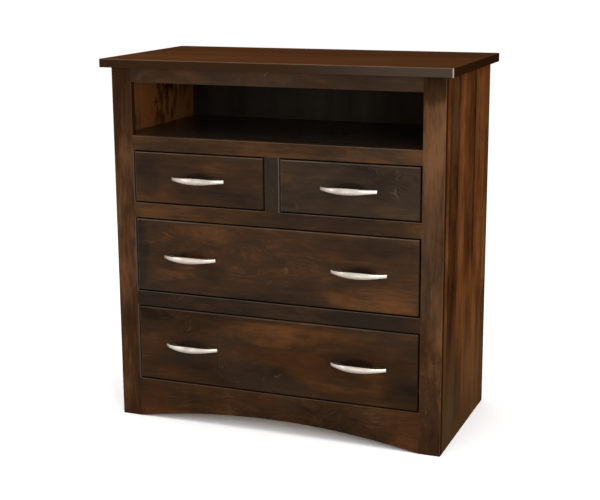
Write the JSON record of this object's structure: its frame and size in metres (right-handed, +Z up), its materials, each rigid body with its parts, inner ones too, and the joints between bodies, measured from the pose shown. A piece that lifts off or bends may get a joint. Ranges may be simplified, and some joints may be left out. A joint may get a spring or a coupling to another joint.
{
  "type": "tv armoire",
  "caption": "TV armoire built as a media chest: open cubby under an overhanging top, inset dovetailed drawers on full-extension slides, bow pulls and an arched base rail.",
  "frame": {"origin": "middle of the chest's overall footprint, pulls included, on the floor", "axes": "+Z up; +X to the right seen from the front; +Y towards the back, so the drawers open along -Y"},
  "size_m": [1.066, 0.549, 1.1],
  "materials": {
    "stained_maple": "dark espresso stain under a satin clear coat, straight and swirled grain showing",
    "stained_plywood": "dark stained veneer, dull clear coat",
    "drawer_box_maple": "pale maple under a thin satin clear coat",
    "birch_plywood": "unfinished rotary-cut birch veneer",
    "inner_frame_wood": "planed secondary wood, no finish",
    "satin_nickel": "satin nickel plate, finely brushed",
    "zinc_steel": "bright zinc plate on pressed steel"
  },
  "bodies": {
    "carcass": {"top_panel": "stained_maple", "left_side": "stained_maple", "right_side": "stained_maple", "back_panel": "stained_plywood", "left_stile": "stained_maple", "right_stile": "stained_maple", "center_stile": "stained_maple", "top_rail": "stained_maple", "cubby_rail": "stained_maple", "upper_rail": "stained_maple", "lower_rail": "stained_maple", "bottom_rail": "stained_maple", "cubby_shelf": "stained_maple", "upper_dust_panel": "birch_plywood", "lower_dust_panel": "birch_plywood", "bottom_panel": "birch_plywood", "drawer_partition": "inner_frame_wood", "top_cleats": "inner_frame_wood", "slide_blocks": "inner_frame_wood", "slide_cabinet_members": "zinc_steel"},
    "left_small_drawer": {"left_small_drawer_front": "stained_maple", "left_small_drawer_box_front": "drawer_box_maple", "left_small_drawer_left_wall": "drawer_box_maple", "left_small_drawer_right_wall": "drawer_box_maple", "left_small_drawer_back_wall": "drawer_box_maple", "left_small_drawer_bottom": "birch_plywood", "left_small_drawer_pulls": "satin_nickel", "left_small_drawer_pull_screws": "zinc_steel", "left_small_drawer_slide_inner_members": "zinc_steel"},
    "left_small_drawer_slides": {"left_small_drawer_slide_middle_members": "zinc_steel"},
    "right_small_drawer": {"right_small_drawer_front": "stained_maple", "right_small_drawer_box_front": "drawer_box_maple", "right_small_drawer_left_wall": "drawer_box_maple", "right_small_drawer_right_wall": "drawer_box_maple", "right_small_drawer_back_wall": "drawer_box_maple", "right_small_drawer_bottom": "birch_plywood", "right_small_drawer_pulls": "satin_nickel", "right_small_drawer_pull_screws": "zinc_steel", "right_small_drawer_slide_inner_members": "zinc_steel"},
    "right_small_drawer_slides": {"right_small_drawer_slide_middle_members": "zinc_steel"},
    "upper_wide_drawer": {"upper_wide_drawer_front": "stained_maple", "upper_wide_drawer_box_front": "drawer_box_maple", "upper_wide_drawer_left_wall": "drawer_box_maple", "upper_wide_drawer_right_wall": "drawer_box_maple", "upper_wide_drawer_back_wall": "drawer_box_maple", "upper_wide_drawer_bottom": "birch_plywood", "upper_wide_drawer_pulls": "satin_nickel", "upper_wide_drawer_pull_screws": "zinc_steel", "upper_wide_drawer_slide_inner_members": "zinc_steel"},
    "upper_wide_drawer_slides": {"upper_wide_drawer_slide_middle_members": "zinc_steel"},
    "lower_wide_drawer": {"lower_wide_drawer_front": "stained_maple", "lower_wide_drawer_box_front": "drawer_box_maple", "lower_wide_drawer_left_wall": "drawer_box_maple", "lower_wide_drawer_right_wall": "drawer_box_maple", "lower_wide_drawer_back_wall": "drawer_box_maple", "lower_wide_drawer_bottom": "birch_plywood", "lower_wide_drawer_pulls": "satin_nickel", "lower_wide_drawer_pull_screws": "zinc_steel", "lower_wide_drawer_slide_inner_members": "zinc_steel"},
    "lower_wide_drawer_slides": {"lower_wide_drawer_slide_middle_members": "zinc_steel"}
  },
  "joints": [
    {"name": "left_small_drawer_pull_out", "type": "slide", "parent": "carcass", "child": "left_small_drawer", "axis": [0, -1, 0], "range_m": [0, 0.44]},
    {"name": "left_small_drawer_slides_run", "type": "slide", "parent": "carcass", "child": "left_small_drawer_slides", "axis": [0, -1, 0], "range_m": [0, 0.22]},
    {"name": "right_small_drawer_pull_out", "type": "slide", "parent": "carcass", "child": "right_small_drawer", "axis": [0, -1, 0], "range_m": [0, 0.44]},
    {"name": "right_small_drawer_slides_run", "type": "slide", "parent": "carcass", "child": "right_small_drawer_slides", "axis": [0, -1, 0], "range_m": [0, 0.22]},
    {"name": "upper_wide_drawer_pull_out", "type": "slide", "parent": "carcass", "child": "upper_wide_drawer", "axis": [0, -1, 0], "range_m": [0, 0.44]},
    {"name": "upper_wide_drawer_slides_run", "type": "slide", "parent": "carcass", "child": "upper_wide_drawer_slides", "axis": [0, -1, 0], "range_m": [0, 0.22]},
    {"name": "lower_wide_drawer_pull_out", "type": "slide", "parent": "carcass", "child": "lower_wide_drawer", "axis": [0, -1, 0], "range_m": [0, 0.44]},
    {"name": "lower_wide_drawer_slides_run", "type": "slide", "parent": "carcass", "child": "lower_wide_drawer_slides", "axis": [0, -1, 0], "range_m": [0, 0.22]}
  ],
  "couplings": [
    {"joint": "left_small_drawer_slides_run", "follows": "left_small_drawer_pull_out", "ratio": 0.5},
    {"joint": "right_small_drawer_slides_run", "follows": "right_small_drawer_pull_out", "ratio": 0.5},
    {"joint": "upper_wide_drawer_slides_run", "follows": "upper_wide_drawer_pull_out", "ratio": 0.5},
    {"joint": "lower_wide_drawer_slides_run", "follows": "lower_wide_drawer_pull_out", "ratio": 0.5}
  ]
}
